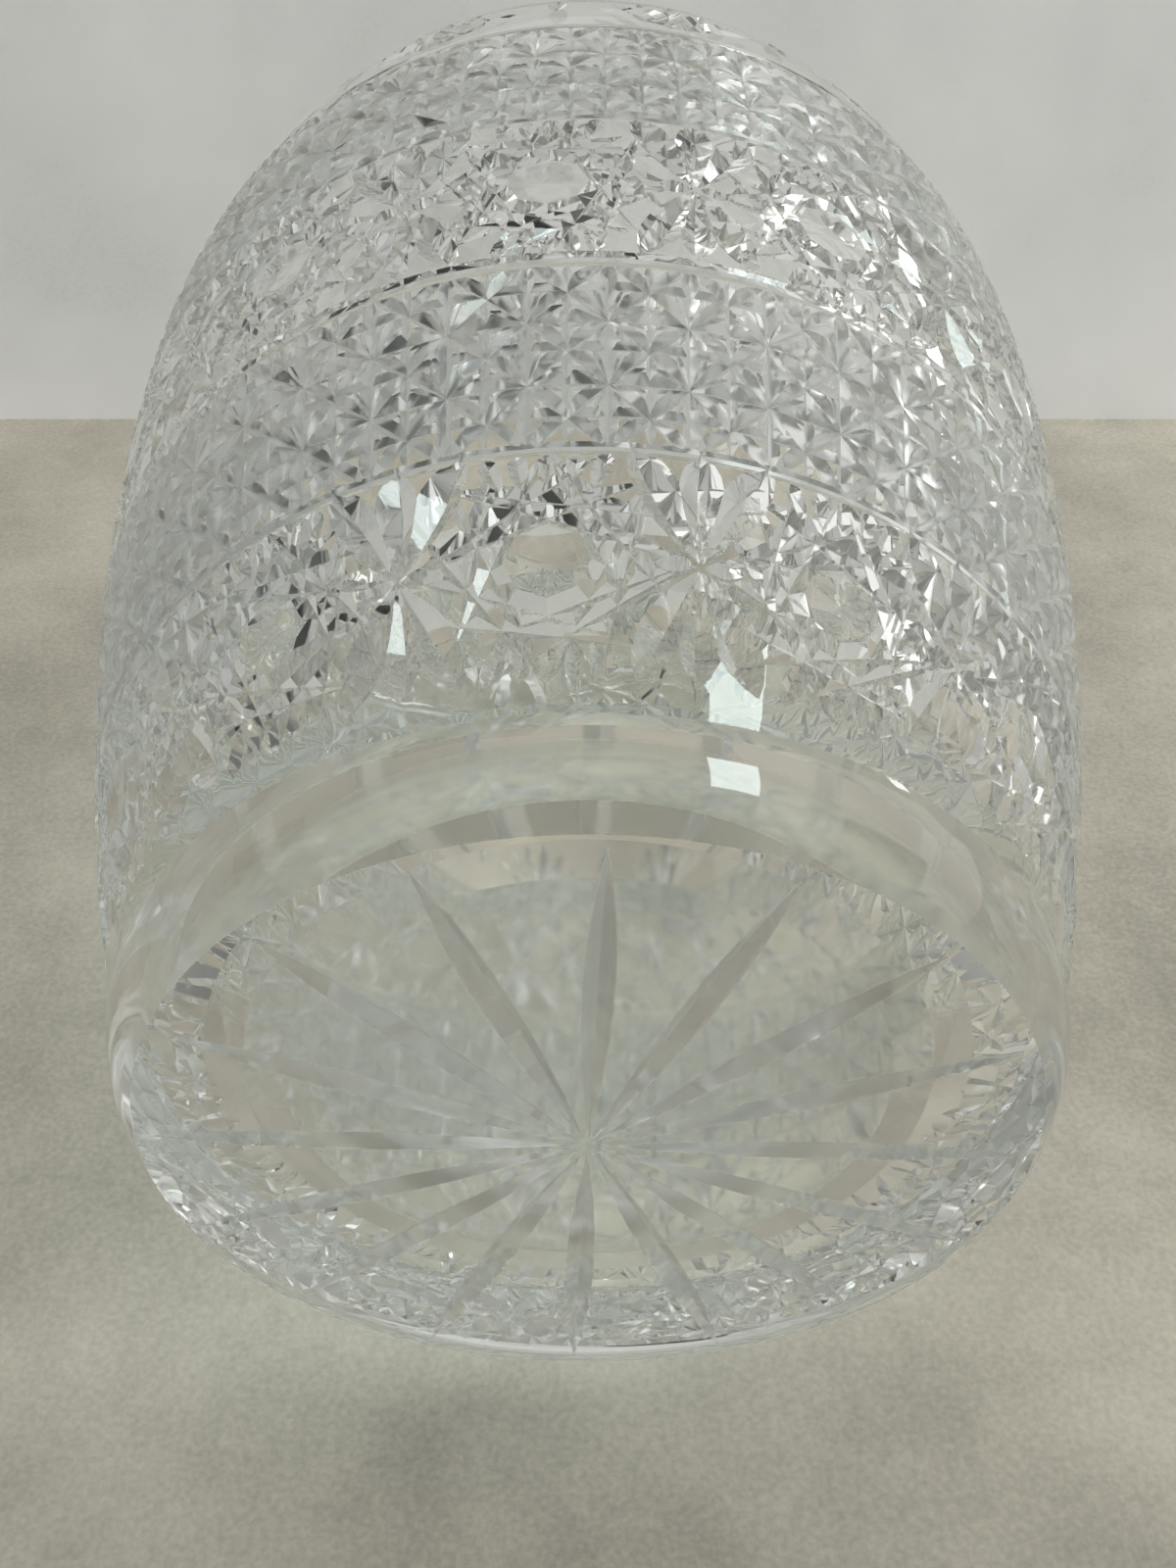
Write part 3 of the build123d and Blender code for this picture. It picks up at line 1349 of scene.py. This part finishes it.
@dataclass
class Studio:
    """A pale floor, the table that the vase leans on, a pale wall, soft lights and the camera."""

    focal_length: float = 40.5
    sensor: float = 36.0
    near_clip: float = 0.005
    eye: Place = (0.0, -0.1995, -0.1328)
    look: Place = (0.0, 0.7043, 0.7099)
    bright_side: Place = (0.3, -0.25, 0.85)
    surround_dark: float = 0.04
    surround_bright: float = 0.66
    surround_colour: Colour = (1.0, 0.995, 0.965)
    floor_reach: float = 3.0
    floor_drop: float = 0.3 * MM
    half_width: float = 0.6
    table_foot: float = 69.7 * MM
    table_slope: float = 0.122
    table_near: float = -0.30
    table_end: float = 0.345
    wall_top: float = -0.08
    wall_rise: float = 0.05
    floor_finish: SheetFinish = SheetFinish("pale_floor", (0.74, 0.71, 0.66), 0.05)
    table_finish: SheetFinish = SheetFinish("table_cloth", (0.68, 0.62, 0.525), 1.5)
    wall_finish: SheetFinish = SheetFinish("pale_wall", (0.82, 0.82, 0.80), 0.45, 0.28)
    card_finish: CardFinish = CardFinish()
    window: Lamp = Lamp(
        "window", (0.46, -0.83, 0.17), (0.016, -0.062, 0.007), (0.17, 0.36), 1.9, (0.86, 1.0, 1.0)
    )
    right_fill: Lamp = Lamp(
        "right_fill", (1.3, -0.7, 0.4), (0, 0.05, 0.1), (1.6, 1.6), 5.5, (1.0, 0.99, 0.97), True
    )
    high_window: Lamp = Lamp(
        "high_window", (0.66, -0.06, 0.86), (0, 0, 0.1), (0.2, 0.34), 1.2, (0.97, 0.99, 1.0)
    )
    bounces: int = 24
    glossy_bounces: int = 12
    indirect_clamp: float = 4.0

    def camera(self) -> None:
        """Put the camera below the foot, looking up along the vase."""
        data = bpy.data.cameras.new("camera")
        data.lens = self.focal_length
        data.sensor_width = self.sensor
        data.clip_start = self.near_clip
        camera = bpy.data.objects.new("camera", data)
        ahead = Vector(self.look).normalized()
        right = Vector((1, 0, 0))
        up = right.cross(ahead).normalized()
        turn = Matrix((right, up, -ahead)).transposed().to_4x4()
        camera.matrix_world = Matrix.Translation(self.eye) @ turn
        bpy.context.scene.collection.objects.link(camera)
        bpy.context.scene.camera = camera

    def sheet(
        self, name: str, corners: Sequence[Place], finish: bpy.types.Material
    ) -> bpy.types.Object:
        """A flat sheet of the stage.

        Args:
            name: its name.
            corners: its four corners, anticlockwise as seen from its front.
            finish: its material.

        Returns:
            The sheet, in the scene.
        """
        data = bpy.data.meshes.new(name)
        data.from_pydata(corners, [], [(0, 1, 2, 3)])
        data.materials.append(finish)
        sheet = bpy.data.objects.new(name, data)
        bpy.context.scene.collection.objects.link(sheet)
        return sheet

    def floor(self) -> None:
        """Lay the floor just under the foot; the glass and its light leave it out."""
        reach, level = self.floor_reach, -self.floor_drop
        near = [(-reach, -reach, level), (reach, -reach, level)]
        far = [(reach, reach, level), (-reach, reach, level)]
        floor = self.sheet("floor", near + far, self.floor_finish.material())
        floor.visible_transmission = False
        floor.visible_glossy = False
        floor.visible_diffuse = False
        floor.visible_shadow = False

    def table(self) -> None:
        """Lean the table against the vase's side, and stand the wall at its far end."""
        half, near, end = self.half_width, self.table_near, self.table_end
        near_edge = self.table_foot + near * self.table_slope
        far_edge = self.table_foot + end * self.table_slope
        front = [(-half, near_edge, near), (half, near_edge, near)]
        back = [(half, far_edge, end), (-half, far_edge, end)]
        self.sheet("table", front + back, self.table_finish.material())
        top, rise = self.wall_top, end + self.wall_rise
        head = [(half, top, rise), (-half, top, rise)]
        self.sheet("wall", back[::-1] + head, self.wall_finish.material())

    def flags(self) -> None:
        """Stand dark cards around the vase, seen only in the glass, to darken some facets."""
        dark = self.card_finish.material()
        cards = (
            ("front_flag", (-0.1, -0.62, -0.42), (0.9, 0.6)),
            ("high_flag", (-0.32, -0.62, 0.7), (0.45, 0.4)),
            ("right_flag", (0.8, -0.42, -0.2), (0.34, 0.6)),
            ("left_flag", (-0.85, -0.35, -0.1), (0.3, 0.7)),
        )
        for name, centre, (width, height) in cards:
            middle = Vector(centre)
            turn = (-middle).to_track_quat("Z", "Y").to_matrix()
            across, along = width / 2, height / 2
            flat = ((-across, -along), (across, -along), (across, along), (-across, along))
            placed = [tuple(middle + turn @ Vector((x, y, 0))) for x, y in flat]
            self.sheet(name, placed, dark).visible_camera = False

    def surround(self) -> bpy.types.World:
        """A soft surround that is brightest high on the right and falls off evenly from there.

        Returns:
            The world.
        """
        tree = ShaderTree(bpy.data.worlds.new("surround"), "ShaderNodeOutputWorld")
        heading = tree.add("ShaderNodeTexCoord", {}, {}).outputs["Generated"]
        facing = tree.add(
            "ShaderNodeVectorMath",
            {"operation": "DOT_PRODUCT"},
            {0: heading, 1: Vector(self.bright_side).normalized()},
        )
        level = tree.value(
            "ShaderNodeMapRange",
            {},
            {
                "Value": facing.outputs["Value"],
                "From Min": -1.0,
                "To Min": self.surround_dark,
                "To Max": self.surround_bright,
            },
        )
        glow = tree.add(
            "ShaderNodeVectorMath", {"operation": "SCALE"}, {0: self.surround_colour, "Scale": level}
        )
        return tree.surface(tree.add("ShaderNodeBackground", {}, {"Color": glow.outputs[0]}))

    def build(self) -> None:
        """Set the whole stage."""
        self.camera()
        self.floor()
        self.table()
        self.flags()
        for lamp in (self.window, self.right_fill, self.high_window):
            lamp.hang()
        scene = bpy.context.scene
        scene.world = self.surround()
        scene.view_settings.view_transform = "Standard"
        scene.cycles.max_bounces = self.bounces
        scene.cycles.transmission_bounces = self.bounces
        scene.cycles.glossy_bounces = self.glossy_bounces
        scene.cycles.sample_clamp_indirect = self.indirect_clamp


def main() -> None:
    """Build the stage and the vase, and report each piece."""
    logging.basicConfig(level=logging.INFO, format="%(name)s: %(message)s")
    Studio().build()
    vase = CutVase()
    glass = vase.build()
    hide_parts(*(zone.value for zone in Zone))
    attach(glass, "root")


if __name__ == "__main__":
    main()
